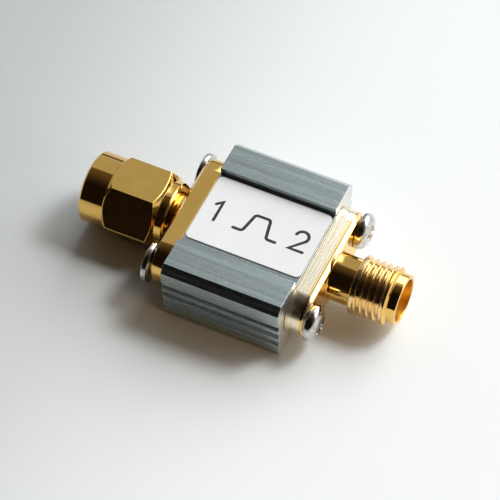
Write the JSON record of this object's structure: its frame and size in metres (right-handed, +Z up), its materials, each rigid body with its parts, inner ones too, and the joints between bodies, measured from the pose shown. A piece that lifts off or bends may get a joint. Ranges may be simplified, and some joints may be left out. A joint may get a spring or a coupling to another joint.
{
  "type": "rf bandpass filter",
  "caption": "Ribbed block filter for radio frequencies, with a flanged male connector and free-turning hexagonal nut at one end and a flanged threaded female connector at the other.",
  "frame": {"origin": "middle of the housing's flat base", "axes": "+X along the connectors towards the female end, +Y across the housing, +Z up, away from the base"},
  "size_m": [0.0359, 0.0186, 0.0081],
  "materials": {
    "housing": "brushed extrusion, satin",
    "label": "matte white label film",
    "board": "glass-fibre laminate",
    "chip": "dull fired ceramic",
    "solder": "bright tin solder",
    "gold": "polished gold plate on turned brass",
    "insulator": "white fluoropolymer",
    "spring": "plain spring bronze",
    "gasket": "red silicone",
    "screw": "bright nickel-plated steel"
  },
  "bodies": {
    "filter": {"housing": "housing", "label": "label", "circuit_board": "board", "filter_chip": "chip", "input_inductor": "chip", "output_inductor": "chip", "input_capacitor": "chip", "output_capacitor": "chip", "input_solder": "solder", "output_solder": "solder", "female_body": "gold", "female_dielectric": "insulator", "female_contact": "gold", "male_body": "gold", "male_dielectric": "insulator", "male_pin": "gold", "retaining_ring": "spring", "nut_gasket": "gasket", "female_screw_front": "screw", "female_screw_back": "screw", "male_screw_front": "screw", "male_screw_back": "screw"},
    "nut": {"coupling_nut": "gold"}
  },
  "joints": [
    {"name": "nut_spin", "type": "hinge", "parent": "filter", "child": "nut", "pos_m": [-0.0144, 0, 0.00385], "axis": [1, 0, 0], "continuous": true}
  ]
}
